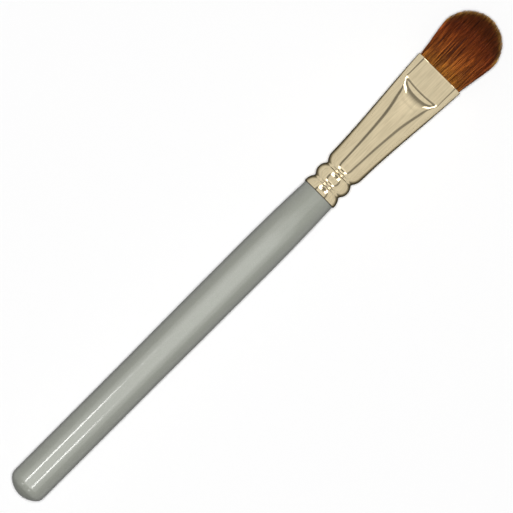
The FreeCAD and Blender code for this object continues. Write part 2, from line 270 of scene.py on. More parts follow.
class Paint(Nodes):
    """A material in the making: its shader and the nodes that feed it."""

    def __init__(self, name: str) -> None:
        """Starts the material with a bare Principled shader.

        Args:
            name: The material's name.
        """
        self.material = bpy.data.materials.new(name)
        self.material.use_nodes = True
        super().__init__(self.material.node_tree)
        self.shader = self.nodes["Principled BSDF"]

    def set(self, **values: float | tuple[float, ...]) -> None:
        """Sets constants on the shader's own sockets.

        Args:
            **values: Socket names, with underscores for spaces, and their values.
        """
        for socket, value in values.items():
            self.give(self.shader.inputs[socket.replace("_", " ")], value)

    def feed(self, source: Socket, socket: str) -> None:
        """Links an output to the shader's socket of that name."""
        self.links.new(source, self.shader.inputs[socket])

    def stretch(self, vector: Socket, scale: tuple[float, float, float]) -> Socket:
        """Multiplies coordinates.

        Args:
            vector: The coordinates.
            scale: How much each of them is multiplied.

        Returns:
            The new coordinates.
        """
        mapping = self.add("ShaderNodeMapping")
        mapping.inputs["Scale"].default_value = scale
        self.links.new(vector, mapping.inputs["Vector"])
        return mapping.outputs["Vector"]

    def place(self, along: float = 1.0) -> Socket:
        """Gives the piece's own coordinates.

        Args:
            along: How much the lengthwise one is multiplied.

        Returns:
            The coordinates.
        """
        return self.stretch(self.add("ShaderNodeTexCoord").outputs["Object"], (along, 1.0, 1.0))

    def noise(self, vector: Socket, size: float, detail: float = 2.0) -> Socket:
        """Adds soft noise.

        Args:
            vector: The coordinates that it reads.
            size: The width of one cloud of the noise, in the unit of the coordinates.
            detail: How many finer layers it holds.

        Returns:
            The noise, from 0 to 1.
        """
        node = self.add("ShaderNodeTexNoise")
        node.inputs["Scale"].default_value = 1.0 / size
        node.inputs["Detail"].default_value = detail
        self.links.new(vector, node.inputs["Vector"])
        return node.outputs["Fac"]

    def flakes(self, vector: Socket, size: float) -> Socket:
        """Adds cells of random colour, as fine as the flakes in a lacquer.

        Args:
            vector: The coordinates that they read.
            size: The width of one flake, in metres.

        Returns:
            The colour of each flake.
        """
        node = self.add("ShaderNodeTexVoronoi")
        node.inputs["Scale"].default_value = 1.0 / size
        self.links.new(vector, node.inputs["Vector"])
        return node.outputs["Color"]

    def bump(self, height: Socket, depth: float, strength: float) -> Socket:
        """Turns a height into a tilted normal.

        Args:
            height: The height, from 0 to 1.
            depth: How far 1 stands above 0, in metres.
            strength: How much of the tilt is kept.

        Returns:
            The normal.
        """
        node = self.add("ShaderNodeBump")
        node.inputs["Strength"].default_value = strength
        node.inputs["Distance"].default_value = depth
        self.links.new(height, node.inputs["Height"])
        return node.outputs["Normal"]


@dataclass(frozen=True)
class LacquerFinish:
    """Silver-grey metallic lacquer on turned wood, under a clear gloss coat."""

    dark: Colour = (0.272, 0.283, 0.240)
    light: Colour = (0.312, 0.324, 0.280)
    flake: float = 0.12 * MM
    cloud: float = 14 * MM
    cloud_along: float = 0.3
    cloud_tones: Stops = greys((NOISE_LOW, 0.95), (NOISE_HIGH, 1.0))
    roughness: Pair = (0.36, 0.44)
    specular: float = 0.25
    coat: float = 1.0
    coat_roughness: float = 0.08
    coat_index: float = 1.48

    def make(self) -> bpy.types.Material:
        """Makes the lacquer.

        Returns:
            The material.
        """
        paint = Paint("silver_grey_lacquer")
        flakes = paint.flakes(paint.place(), self.flake)
        tone = paint.ramp(flakes, ((0.0, self.dark), (1.0, self.light)))
        clouds = paint.noise(paint.place(self.cloud_along), self.cloud)
        paint.feed(paint.multiply(tone, paint.ramp(clouds, self.cloud_tones)), "Base Color")
        paint.feed(paint.span(clouds, *self.roughness), "Roughness")
        paint.set(Specular_IOR_Level=self.specular, Coat_Weight=self.coat)
        paint.set(Coat_Roughness=self.coat_roughness, Coat_IOR=self.coat_index)
        return paint.material


@dataclass(frozen=True)
class PlatingFinish:
    """Pale gold plating on drawn brass, with draw lines along the tube and painted shade in its seam with
    the handle.
    """

    tones: Stops = ((NOISE_LOW, (0.615, 0.52, 0.345)), (NOISE_HIGH, (0.65, 0.555, 0.37)))
    rim: Colour = grey(0.02)
    mottle: float = 2.4 * MM
    mottle_detail: float = 4.0
    roughness: Pair = (0.05, 0.11)
    streak: float = 0.42 * MM
    streak_along: float = 0.06
    streak_tones: Stops = ((0.34, (0.92, 0.92, 0.91)), (0.66, (1.07, 1.06, 1.05)))
    line: float = 0.09 * MM
    line_along: float = 0.03
    line_detail: float = 3.0
    line_depth: float = 0.003 * MM
    line_strength: float = 0.25
    # painted shade: a dark band at the tube's end by the handle, where the seam's shadow falls
    seam_shade: Colour = (0.09, 0.08, 0.06)
    seam_shade_width: float = 0.26 * MM
    seam_shade_edge: Stops = greys((0.6, 0.0), (1.0, 1.0))

    def make(self, start: float) -> bpy.types.Material:
        """Makes the plating.

        Args:
            start: Where the tube begins, at its seam with the handle.

        Returns:
            The material.
        """
        paint = Paint("champagne_plating")
        mottle = paint.noise(paint.place(), self.mottle, self.mottle_detail)
        streaks = paint.noise(paint.place(self.streak_along), self.streak, self.line_detail)
        tone = paint.multiply(paint.ramp(mottle, self.tones), paint.ramp(streaks, self.streak_tones))
        x, _, _ = paint.split(paint.place())
        # painted shade: the plating darkens towards its seam with the handle
        reach = paint.math("DIVIDE", paint.math("SUBTRACT", x, start), self.seam_shade_width)
        unshaded = paint.ramp(reach, self.seam_shade_edge)
        paint.feed(paint.mix(unshaded, self.seam_shade, tone), "Base Color")
        paint.feed(paint.span(mottle, *self.roughness), "Roughness")
        lines = paint.noise(paint.place(self.line_along), self.line, self.line_detail)
        paint.feed(paint.bump(lines, self.line_depth, self.line_strength), "Normal")
        paint.set(Metallic=1.0, Specular_Tint=self.rim)
        return paint.material


@dataclass(frozen=True)
class HairFinish:
    """Brown hair whose tone along its length is partly its own and partly painted light: golden at the
    mouth, partly a painted highlight, darkest before the tips, partly painted shade, and lighter at the
    bundle's edges.
    """

    # the tone from root to tip: the bright stop near the mouth is partly a painted highlight, the darkest
    # stretch before the tips partly painted shade
    along: Stops = (
        (0.00, (0.10, 0.04, 0.008)),
        (0.50, (0.16, 0.060, 0.010)),
        (0.54, (0.33, 0.130, 0.017)),
        (0.66, (0.235, 0.068, 0.011)),
        (0.78, (0.20, 0.047, 0.0085)),
        (0.87, (0.15, 0.030, 0.007)),
        (0.95, (0.13, 0.032, 0.008)),
        (0.98, (0.33, 0.158, 0.036)),
        (1.00, (0.62, 0.38, 0.13)),
    )
    fringe: Stops = ((0.90, WHITE), (0.92, (1.30, 1.42, 1.30)))
    # streaks along the hairs: partly the clumps' own uneven tone, partly painted shade in the gaps between
    # clumps
    streak: Stops = (
        (0.34, (0.20, 0.16, 0.17)),
        (0.50, (0.78, 0.74, 0.78)),
        (0.66, (2.15, 2.25, 2.10)),
    )
    streaks_across: float = 110.0
    streaks_along: float = 3.6
    grain: Stops = ((0.36, (0.40, 0.35, 0.37)), (0.64, (1.68, 1.70, 1.65)))
    grain_across: float = 900.0
    grain_along: float = 5.0
    roughness: Pair = (0.48, 0.36)
    specular: float = 0.12

    def make(self) -> bpy.types.Material:
        """Makes the hair's finish, which reads each hair's own strip of the map.

        Returns:
            The material.
        """
        paint = Paint("brown_hair")
        strip = paint.add("ShaderNodeUVMap", uv_map=HairBundle.MAP).outputs["UV"]
        hair, length, _ = paint.split(strip)
        tone = paint.multiply(paint.ramp(length, self.along), paint.ramp(hair, self.fringe))
        # the streaks' dark tones are partly painted shade between clumps; the grain is the hairs' own
        # uneven tone
        for across, along, stops in (
            (self.streaks_across, self.streaks_along, self.streak),
            (self.grain_across, self.grain_along, self.grain),
        ):
            strands = paint.noise(paint.stretch(strip, (across, along, 1.0)), size=1.0)
            tone = paint.multiply(tone, paint.ramp(strands, stops))
        paint.feed(tone, "Base Color")
        paint.feed(paint.span(hair, *self.roughness), "Roughness")
        paint.set(Specular_IOR_Level=self.specular)
        return paint.material


@dataclass(frozen=True)
class HiddenFinish:
    """A plain mottled finish for what is held inside the ferrule."""

    name: str
    dark: Colour
    light: Colour
    grain: float
    roughness: float
    roughness_drift: float = 0.06
    grain_detail: float = 3.0
    grain_depth: float = 0.05 * MM
    grain_strength: float = 0.4

    def make(self) -> bpy.types.Material:
        """Makes the finish.

        Returns:
            The material.
        """
        paint = Paint(self.name)
        grain = paint.noise(paint.place(), self.grain, self.grain_detail)
        paint.feed(paint.ramp(grain, ((NOISE_LOW, self.dark), (NOISE_HIGH, self.light))), "Base Color")
        smooth, dull = self.roughness - self.roughness_drift, self.roughness + self.roughness_drift
        paint.feed(paint.span(grain, smooth, dull), "Roughness")
        paint.feed(paint.bump(grain, self.grain_depth, self.grain_strength), "Normal")
        return paint.material


def dress_node(node: str, material: bpy.types.Material) -> bpy.types.Object:
    """Gives a CAD node its finish.

    Args:
        node: The node's name in the frame.
        material: The finish.

    Returns:
        The node's piece.
    """
    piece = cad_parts[node]
    piece.data.materials.clear()
    piece.data.materials.append(material)
    return piece


def put(name: str, data: bpy.types.ID) -> bpy.types.Object:
    """Puts a mesh, curve, lamp or camera into the scene.

    Args:
        name: The name of its object.
        data: What the object shows.

    Returns:
        The object.
    """
    thing = bpy.data.objects.new(name, data)
    bpy.context.scene.collection.objects.link(thing)
    return thing


def arc(x: np.ndarray, level: float, radius: float, other: float, other_radius: float) -> np.ndarray:
    """Gives the radius along an arc that is level at one end.

    Args:
        x: Places along the brush.
        level: The place of the level end.
        radius: The radius there.
        other: The place of the other end.
        other_radius: The radius at the other end.

    Returns:
        The radius at each place.
    """
    fall = radius - other_radius
    bend = ((other - level) ** 2 + fall ** 2) / (2 * fall)
    return radius - bend + np.sqrt(np.clip(bend ** 2 - (x - level) ** 2, 0, None))


@dataclass
class Handle:
    """The turned handle and the glue on its tenon."""

    lacquer: LacquerFinish = LacquerFinish()
    glue: HiddenFinish = HiddenFinish(
        "wood_glue", dark=(0.52, 0.47, 0.35), light=(0.66, 0.61, 0.48), grain=0.8 * MM, roughness=0.55
    )

    def dress(self) -> list[bpy.types.Object]:
        """Finishes the handle and its glue, and returns both."""
        return [
            dress_node("handle", self.lacquer.make()),
            dress_node("tenon_glue", self.glue.make()),
        ]


@dataclass
class Ferrule:
    """The crimped tube, pressed flat at the hair, with the resin and the thread that it holds.

    Places along the tube count from its end at the handle, unless their name says otherwise.
    """

    wall: float = 0.3 * MM
    rim_round: float = 0.12 * MM
    bore_chamfer: float = 0.06 * MM

    # the collar with its two crimped grooves
    land: float = 0.36 * MM
    bead_radius: float = 4.77 * MM
    groove_radius: float = 3.79 * MM
    groove_one: float = 2.74 * MM
    groove_two: float = 6.87 * MM
    groove_soft: float = 0.66 * MM

    # the run from round to flat, each station with its place, half width and half height
    flare_start: float = 9.43 * MM
    flare_radius: float = 4.87 * MM
    middle: tuple[float, float, float] = (20.865 * MM, 5.44 * MM, 4.15 * MM)
    shoulder: tuple[float, float, float] = (32.3 * MM, 6.32 * MM, 3.40 * MM)
    mouth: Pair = (6.88 * MM, 2.65 * MM)
    square: float = 0.45
    square_before: float = 4.5 * MM
    square_after: float = 2.0 * MM

    # the press that flattens both broad sides
    panel_half_height: float = 2.0 * MM
    panel_length: float = 6.12 * MM
    panel_bow: float = 0.40 * MM
    panel_half_width: float = 4.8 * MM
    panel_slope: float = math.radians(34)
    panel_crease: float = 1.6 * MM
    panel_ridge: float = 6.0 * MM
    panel_top: float = 3.78 * MM
    panel_soft: float = 0.58 * MM
    jaw_opening: float = 0.2

    # the rings of points that the tube is made of
    around: int = 240
    rim_rings: int = 4
    first_ring: float = 0.2 * MM
    end_margin: float = 0.3 * MM
    crimp_pitch: float = 0.08 * MM
    flare_pitch: float = 0.4 * MM
    step_pitch: float = 0.07 * MM
    step_before_mouth: Pair = (11 * MM, 5.8 * MM)
    panel_pitch: float = 0.25 * MM
    bore_crimp_pitch: float = 0.2 * MM
    bore_pitch: float = 0.6 * MM

    plating: PlatingFinish = PlatingFinish()
    resin: HiddenFinish = HiddenFinish(
        "amber_resin", dark=(0.30, 0.18, 0.05), light=(0.44, 0.28, 0.10), grain=1.5 * MM, roughness=0.25
    )
    thread: HiddenFinish = HiddenFinish(
        "linen_thread", dark=(0.50, 0.45, 0.35), light=(0.68, 0.63, 0.52), grain=0.12 * MM, roughness=0.7
    )

    def __post_init__(self) -> None:
        """Takes the tube's place from the frame."""
        low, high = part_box("ferrule")
        self.start = low[0]
        self.length = high[0] - low[0]
        self.axis = (low[2] + high[2]) / 2

    @staticmethod
    def lesser(first: np.ndarray, second: np.ndarray, soft: float) -> np.ndarray:
        """Takes the lesser of two heights, with a soft edge where they cross.

        Args:
            first: The first heights.
            second: The second heights.
            soft: How near to each other they have to be for the edge to begin.

        Returns:
            The lesser heights.
        """
        near = np.clip(soft - np.abs(first - second), 0, None) / soft
        return np.minimum(first, second) - near ** 2 * soft / 4

    def collar(self, x: np.ndarray) -> np.ndarray:
        """Gives the radius of the crimped collar.

        Args:
            x: Places along the tube.

        Returns:
            The radius at each place.
        """
        crown = (self.groove_one + self.groove_two) / 2
        bead, groove = self.bead_radius, self.groove_radius
        first = np.where(x < self.land, bead, arc(x, self.land, bead, self.groove_one, groove))
        second = arc(x, crown, bead, self.groove_two, groove)
        third = arc(x, self.flare_start, self.flare_radius, self.groove_two, groove)
        upper = np.where(x < crown, first, third)
        return -self.lesser(-upper, -second, self.groove_soft)

    def jaw(self, x: np.ndarray) -> np.ndarray:
        """Gives the height that the press leaves over the axis.

        Args:
            x: Places along the tube.

        Returns:
            The height at each place: flat on the panel, then a crease, a slope and a round ridge.
        """
        sine = math.sin(self.panel_slope)
        turn = 1 - math.cos(self.panel_slope)
        steep = math.tan(self.panel_slope)
        foot = self.length - self.panel_length
        climb = self.panel_top - self.panel_half_height - (self.panel_crease + self.panel_ridge) * turn
        slope = foot - self.panel_crease * sine
        head = slope - climb / steep
        top = head - self.panel_ridge * sine
        crease = np.sqrt(np.clip(self.panel_crease ** 2 - (x - foot) ** 2, 0, None))
        ridge = np.sqrt(np.clip(self.panel_ridge ** 2 - (x - top) ** 2, 0, None))
        heights = (
            self.panel_half_height,
            self.panel_half_height + self.panel_crease - crease,
            self.panel_half_height + self.panel_crease * turn + (slope - x) * steep,
            self.panel_top - self.panel_ridge + ridge,
        )
        before = self.panel_top + (top - x) * self.jaw_opening
        return np.select((x >= foot, x >= slope, x >= head, x >= top), heights, before)

    def rings(self) -> np.ndarray:
        """Lists the rings of the tube, out along its outside and back along its bore.

        Returns:
            For each ring its place along the tube and how far it stands inside the outside.
        """
        end, wall, cut = self.length, self.wall, self.bore_chamfer
        step, panel = (end - before for before in self.step_before_mouth)
        outside = np.concatenate((
            np.arange(self.first_ring, self.flare_start, self.crimp_pitch),
            np.arange(self.flare_start, step, self.flare_pitch),
            np.arange(step, panel, self.step_pitch),
            np.arange(panel, end - self.end_margin, self.panel_pitch),
        ))
        bore = np.concatenate((
            np.arange(self.end_margin, self.flare_start, self.bore_crimp_pitch),
            np.arange(self.flare_start, end - self.end_margin, self.bore_pitch),
        ))
        turns = np.radians(np.linspace(0, 90, self.rim_rings))
        rim = self.rim_round * np.column_stack((1 - np.cos(turns), 1 - np.sin(turns)))
        return np.concatenate((
            rim,
            np.column_stack((outside, np.zeros(len(outside)))),
            (rim * (-1, 1) + (end, 0))[::-1],
            [(end, wall - cut), (end - cut, wall)],
            np.column_stack((bore[::-1], np.full(len(bore), wall))),
            [(cut, wall), (0.0, wall - cut)],
        ))

    def surface(self) -> np.ndarray:
        """Works out the points of every ring.

        Returns:
            One row of points for each ring.
        """
        rings = self.rings()
        x, inset = rings[:, :1], rings[:, 1:]
        places = (self.flare_start, self.middle[0], self.shoulder[0], self.length)
        widths = (self.flare_radius, self.middle[1], self.shoulder[1], self.mouth[0])
        crowns = (self.flare_radius, self.middle[2], self.shoulder[2], self.mouth[1])
        crimped = x < self.flare_start
        width, crown = (
            np.where(crimped, self.collar(x), np.polyval(np.polyfit(places, sizes, deg=3), x)) - inset
            for sizes in (widths, crowns)
        )
        turn = np.linspace(0, math.tau, self.around, endpoint=False)[None, :]
        sine, cosine = np.sin(turn), np.cos(turn)
        away = x - self.shoulder[0]
        reach = np.where(away < 0, self.square_before, self.square_after)
        power = 2 / (2 + self.square * np.exp(-(away / reach) ** 2))
        height = crown * np.sign(cosine) * np.abs(cosine) ** power
        aside = width * np.sign(sine) * np.abs(sine) ** power
        bowed = x - self.panel_bow * (aside / self.panel_half_width) ** 2
        pressed = np.sign(height) * self.lesser(np.abs(height), self.jaw(bowed) - inset, self.panel_soft)
        z = np.where(crimped, height, pressed) + self.axis
        return np.stack((np.broadcast_to(x + self.start, z.shape), aside, z), axis=2)

    def build(self) -> bpy.types.Object:
        """Makes the tube from a sheet that is rolled up and joined to itself.

        Returns:
            The tube.
        """
        points = self.surface()
        rows, columns = points.shape[:2]
        shape = bmesh.new()
        bmesh.ops.create_grid(shape, x_segments=rows, y_segments=columns, size=1.0)
        for corner in shape.verts:
            # the flat sheet runs from -1 to 1 both ways
            row = round((corner.co.x + 1) / 2 * rows) % rows
            column = round((corner.co.y + 1) / 2 * columns) % columns
            corner.co = points[row, column]
        bmesh.ops.remove_doubles(shape, verts=shape.verts, dist=SAME_PLACE)
        bmesh.ops.recalc_face_normals(shape, faces=shape.faces)
        mesh = bpy.data.meshes.new("ferrule_tube")
        shape.to_mesh(mesh)
        shape.free()
        mesh.shade_smooth()
        mesh.set_sharp_from_angle(angle=HARD_EDGE)
        mesh.materials.append(self.plating.make(self.start))
        tube = put("ferrule_tube", mesh)
        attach(tube, Body.BRUSH.value)
        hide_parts("ferrule")
        return tube

    def dress(self) -> list[bpy.types.Object]:
        """Finishes the resin and the thread, and returns both."""
        return [
            dress_node("resin_plug", self.resin.make()),
            dress_node("binding_thread", self.thread.make()),
        ]


@dataclass
class HairBundle:
    """The bundle of hairs, from the resin to the half-round tip.

    Each hair has its spot in the unit disc, which stands for the section: across it, then through it.
    """

    MAP: ClassVar[str] = "OFBake"
    OVAL: ClassVar[float] = 2.0

    hairs: int = 7500
    pieces: int = 3
    sides: int = 3
    thickness: float = 0.105 * MM
    tip_share: float = 0.3
    taper_from: float = 0.6
    seed: int = 11

    # the sections of the bundle
    wall: float = 0.42 * MM
    mouth_half_height: float = 1.62 * MM
    mouth_square: float = 3.2
    panel_from_mouth: float = 6.3 * MM
    panel_half_width: float = 5.9 * MM
    throat_half_width: float = 4.6 * MM
    throat_half_height: float = 2.2 * MM
    root_radius: float = 2.9 * MM
    waist_radius: float = 2.65 * MM
    waist_from_root: float = 2.6 * MM
    spread_half_height: float = 2.3 * MM
    spread_square: float = 2.3
    tip_half_height: float = 1.7 * MM
    dome: float = 8.1 * MM
    dome_fall: float = 0.72

    # the clumps that hairs gather in
    clump_width: float = 0.32 * MM
    clump_tries: int = 12
    clump_gap: float = 0.8
    clump_length: float = 0.1 * MM
    clump_length_limits: Pair = (-0.2 * MM, 0.1 * MM)
    clump_pull: float = 0.10
    clump_pull_power: float = 1.2
    clump_swell: float = 0.08
    clump_swell_rate: float = 1.4

    # the line of a hair, with its wave in radians per millimetre
    held_sections: int = 4
    free_before_mouth: float = 1 * MM
    free_points: int = 8
    turn_spread: float = 0.02
    uneven: float = 0.25 * MM
    stray_share: float = 0.05
    stray_short: Pair = (0.5 * MM, 3 * MM)
    wave: float = 0.05 * MM
    wave_rate: Pair = (0.5, 1.1)
    wave_growth: float = 3.0
    bend_before_mouth: float = 0.5 * MM
    bend_after_mouth: float = 9 * MM

    # the places of hairs on the map: tones across, with the edge's fringe last, and tips up it
    tone_share: float = 0.88
    tone_spread: float = 0.003
    tone_limits: Pair = (0.004, 0.89)
    fringe_from: float = 0.93
    fringe_tone: float = 0.925
    fringe_share: float = 0.07
    face_tip: float = 0.95
    core_tip_more: float = 0.05
    core_edge: float = 1.8
    core_fall: float = 3.0
    strip_step: float = 0.001
    map_margin: float = 0.005

    def __post_init__(self) -> None:
        """Takes the bundle's places from the frame."""
        tuft_low, tuft_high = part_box("hair_tuft")
        self.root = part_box("hair_root")[0][0]
        self.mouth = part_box("ferrule")[1][0]
        self.tip = tuft_high[0]
        self.axis = (tuft_low[2] + tuft_high[2]) / 2
        self.half_width = tuft_high[1]
        self.half_height = (tuft_high[2] - tuft_low[2]) / 2
        self.mouth_half_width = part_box("ferrule")[1][1] - self.wall
        self.widest = self.tip - self.dome
        self.chance = random.Random(self.seed)

    def stations(self) -> tuple[tuple[float, float, float, float], ...]:
        """Lists the bundle's sections from root to tip.

        Returns:
            For each section its place along the brush, half width, half height and squareness.
        """
        waist = self.root + self.waist_from_root
        panel = self.mouth - self.panel_from_mouth
        half_way = (self.mouth + self.widest) / 2
        half_way_width = (self.mouth_half_width + self.half_width) / 2
        return (
            (self.root, self.root_radius, self.root_radius, self.OVAL),
            (waist, self.waist_radius, self.waist_radius, self.OVAL),
            ((waist + panel) / 2, self.throat_half_width, self.throat_half_height, self.OVAL),
            (panel, self.panel_half_width, self.mouth_half_height, self.OVAL),
            (self.mouth, self.mouth_half_width, self.mouth_half_height, self.mouth_square),
            (half_way, half_way_width, self.spread_half_height, self.spread_square),
            (self.widest, self.half_width, self.half_height, self.OVAL),
            (self.tip, self.half_width, self.tip_half_height, self.OVAL),
        )

    def clumps(self) -> np.ndarray:
        """Scatters the middles of the clumps over the bundle's section.

        Returns:
            One row for each clump: its spot in two numbers, its swell, extra length and tone.
        """
        size = np.array((self.half_width, self.half_height))
        found = np.zeros((1, 2))
        for _ in range(int(self.clump_tries * math.pi * size.prod() / self.clump_width ** 2)):
            radius = math.sqrt(self.chance.random())
            turn = self.chance.uniform(0, math.tau)
            spot = np.array((radius * math.cos(turn), radius * math.sin(turn)))
            apart = ((found - spot) * size) ** 2
            if apart.sum(axis=1).min() > (self.clump_gap * self.clump_width) ** 2:
                found = np.vstack((found, spot))
        rows = []
        for across, through in found:
            swell = self.chance.gauss(0, self.clump_swell)
            longer = self.chance.gauss(0, self.clump_length)
            rows.append((across, through, swell, longer, self.chance.random()))
        return np.array(rows)

    def ends(self, spot: np.ndarray, clump: np.ndarray, numbers: np.random.Generator) -> np.ndarray:
        """Works out where the hairs end, on a dome and a little uneven.

        Args:
            spot: The spot of each hair.
            clump: The row of each hair's clump.
            numbers: The source of random numbers.

        Returns:
            The place of each hair's tip along the brush.
        """
        inside = 1 - spot[:, 0] ** 2 - self.dome_fall * spot[:, 1] ** 2
        dome = self.widest + self.dome * np.sqrt(np.clip(inside, 0.0, 1.0))
        longer = clump[:, 3].clip(*self.clump_length_limits)
        short = np.abs(numbers.normal(0, self.uneven, self.hairs)) - longer
        stray = numbers.random(self.hairs) < self.stray_share
        short = short + stray * numbers.uniform(*self.stray_short, self.hairs)
        return np.minimum(dome - short, self.tip)

    def tones(self, spot: np.ndarray, clump: np.ndarray, numbers: np.random.Generator) -> np.ndarray:
        """Gives the hairs their places on the map.

        Args:
            spot: The spot of each hair.
            clump: The row of each hair's clump.
            numbers: The source of random numbers.

        Returns:
            For each hair its place across the map, and how far up the map its tip is.
        """
        tone = self.tone_share * clump[:, 4] + numbers.normal(0, self.tone_spread, self.hairs)
        fringe = np.abs(spot[:, 0]) > self.fringe_from
        light = self.fringe_tone + self.fringe_share * clump[:, 4]
        across = np.where(fringe, light, np.clip(tone, *self.tone_limits))
        core = np.clip(self.core_edge - self.core_fall * np.abs(spot[:, 1]), 0, 1)
        return np.stack((across, self.face_tip + self.core_tip_more * core), axis=1)

    def paths(self) -> tuple[np.ndarray, np.ndarray, np.ndarray]:
        """Works out the line of every hair.

        Returns:
            The points of the hairs, their shares of full thickness, and their places on the map.
        """
        stations = np.array(self.stations())
        clumps = self.clumps()
        numbers = np.random.default_rng(self.seed)
        index = np.arange(self.hairs)
        radius = np.sqrt((index + 0.5) / self.hairs)
        # steps of the golden angle fill the disc evenly
        turn = index * math.pi * (3 - math.sqrt(5)) + numbers.normal(0, self.turn_spread, self.hairs)
        spot = np.stack((radius * np.cos(turn), radius * np.sin(turn)), axis=1)
        size = np.array((self.half_width, self.half_height))
        apart = ((spot[:, None, :] - clumps[None, :, :2]) * size) ** 2
        clump = clumps[apart.sum(axis=2).argmin(axis=1)]
        end = self.ends(spot, clump, numbers)[:, None]
        start = self.mouth - self.free_before_mouth
        free = start + np.linspace(0, 1, self.free_points) * (end - start)
        held = np.tile(stations[:self.held_sections, 0], (self.hairs, 1))
        x = np.concatenate((held, free), axis=1)
        past = x - self.mouth
        out = np.clip(past / (self.tip - self.mouth), 0, 1)
        pull = self.clump_pull * out ** self.clump_pull_power
        across = spot[:, 0:1] * (1 - pull) + clump[:, 0:1] * pull
        through = spot[:, 1:2] * (1 - pull) + clump[:, 1:2] * pull
        grown = np.sin(np.clip(out * self.clump_swell_rate, 0, 1) * math.pi / 2)
        swell = 1 + np.minimum(clump[:, 2:3], 0.0) * grown
        sections = (np.interp(x, stations[:, 0], sizes) for sizes in stations[:, 1:].T)
        half_width, half_height, square = sections
        angle = np.arctan2(through, across)
        fill = (np.abs(np.cos(angle)) ** square + np.abs(np.sin(angle)) ** square) ** (-1 / square)
        phase = numbers.uniform(0, math.tau, (self.hairs, 2))
        rate = numbers.uniform(*self.wave_rate, (self.hairs, 1)) / MM
        sway = self.wave * np.minimum(out * self.wave_growth, 1)
        y = across * fill * swell * half_width + sway * np.sin(rate * past + phase[:, 0:1])
        z = through * fill * swell * half_height + sway * np.sin(rate * past + phase[:, 1:2]) + self.axis
        along = np.clip(past / (end - self.mouth), 0, 1)
        thinned = np.clip((along - self.taper_from) / (1 - self.taper_from), 0, 1)
        taper = 1 - (1 - self.tip_share) * thinned
        return np.stack((x, y, z), axis=2), taper, self.tones(spot, clump, numbers)

    def section(self) -> bpy.types.Object:
        """Makes the section that every hair is drawn with.

        Returns:
            A closed curve, to be removed once the hairs are meshes.
        """
        curve = bpy.data.curves.new("hair_section", "CURVE")
        spline = curve.splines.new("POLY")
        spline.points.add(self.sides - 1)
        for corner, point in enumerate(spline.points):
            turn = corner * math.tau / self.sides
            point.co = (math.cos(turn) * self.thickness / 2, math.sin(turn) * self.thickness / 2, 0.0, 1.0)
        spline.use_cyclic_u = True
        return put("hair_section", curve)

    def tubes(
        self, name: str, points: np.ndarray, taper: np.ndarray, section: bpy.types.Object
    ) -> bpy.types.Mesh:
        """Draws hairs as tapered tubes with closed ends.

        Args:
            name: The name of the mesh.
            points: The points of each hair.
            taper: The share of full thickness at each point.
            section: The section of a hair.

        Returns:
            One mesh of all the tubes.
        """
        curve = bpy.data.curves.new(name, "CURVE")
        curve.dimensions = "3D"
        curve.bevel_mode = "OBJECT"
        curve.bevel_object = section
        count = points.shape[1]
        for line, widths in zip(points, taper):
            spline = curve.splines.new("POLY")
            spline.points.add(count - 1)
            spline.points.foreach_set("co", np.column_stack((line, np.ones(count))).ravel())
            spline.points.foreach_set("radius", widths)
        drawing = put(name + "_lines", curve)
        ready = drawing.evaluated_get(bpy.context.evaluated_depsgraph_get())
        mesh = bpy.data.meshes.new_from_object(ready)
        mesh.name = name
        bpy.data.objects.remove(drawing)
        shape = bmesh.new()
        shape.from_mesh(mesh)
        open_edges = [edge for edge in shape.edges if edge.is_boundary]
        bmesh.ops.holes_fill(shape, edges=open_edges, sides=self.sides)
        shape.to_mesh(mesh)
        shape.free()
        return mesh

    def map_strips(self, mesh: bpy.types.Mesh, points: np.ndarray, places: np.ndarray) -> None:
        """Gives each hair its own strip of the map, root at the bottom and tip at the top.

        Args:
            mesh: The hairs.
            points: The points of each hair.
            places: Each hair's place across the map, and how far up the map its tip is.
        """
        corners = np.empty(len(mesh.loops), dtype=np.int32)
        mesh.loops.foreach_get("vertex_index", corners)
        hair, ring = np.divmod(corners // self.sides, points.shape[1])
        reach = points[:, :, 0]
        length = (reach - self.root) / (reach[:, -1:] - self.root)
        across = places[hair, 0] + (corners % self.sides) * self.strip_step
        up = length[hair, ring] * places[hair, 1] * (1 - 2 * self.map_margin) + self.map_margin
        for layer in list(mesh.uv_layers):
            mesh.uv_layers.remove(layer)
        strips = mesh.uv_layers.new(name=self.MAP)
        strips.data.foreach_set("uv", np.column_stack((across, up)).astype(np.float32).ravel())

    def build(self, finish: HairFinish) -> list[bpy.types.Object]:
        """Makes the hairs and shares them out to pieces.

        Args:
            finish: The hair's finish.

        Returns:
            The pieces that the hairs are shared out to.
        """
        points, taper, places = self.paths()
        material = finish.make()
        section = self.section()
        made = []
        for part in range(self.pieces):
            name = f"hair_{part + 1}"
            mine = slice(part, None, self.pieces)
            mesh = self.tubes(name, points[mine], taper[mine], section)
            self.map_strips(mesh, points[mine], places[mine])
            mesh.materials.clear()
            mesh.materials.append(material)
            mesh.shade_smooth()
            piece = put(name, mesh)
            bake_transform(piece)
            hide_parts("hair_root", "hair_tuft")
            made.append(piece)
        bpy.data.objects.remove(section)
        return made


@dataclass(frozen=True)
class StripLamp:
    """A lamp along the brush, over it or to one side, which only gloss shows."""

    name: str
    side: Side
    start: float
    end: float
    aside: float
    height: float = 0.50
    width: float = 0.07
    radiance: float = 15.0

    def make(self) -> bpy.types.Light:
        """Makes the lamp, at the power that its size calls for.

        Returns:
            The lamp.
        """
        lamp = bpy.data.lights.new(self.name, "AREA")
        lamp.shape = "RECTANGLE"
        lamp.size = abs(self.end - self.start)
        lamp.size_y = self.width
        lamp.energy = self.radiance * math.pi * lamp.size * lamp.size_y
        return lamp


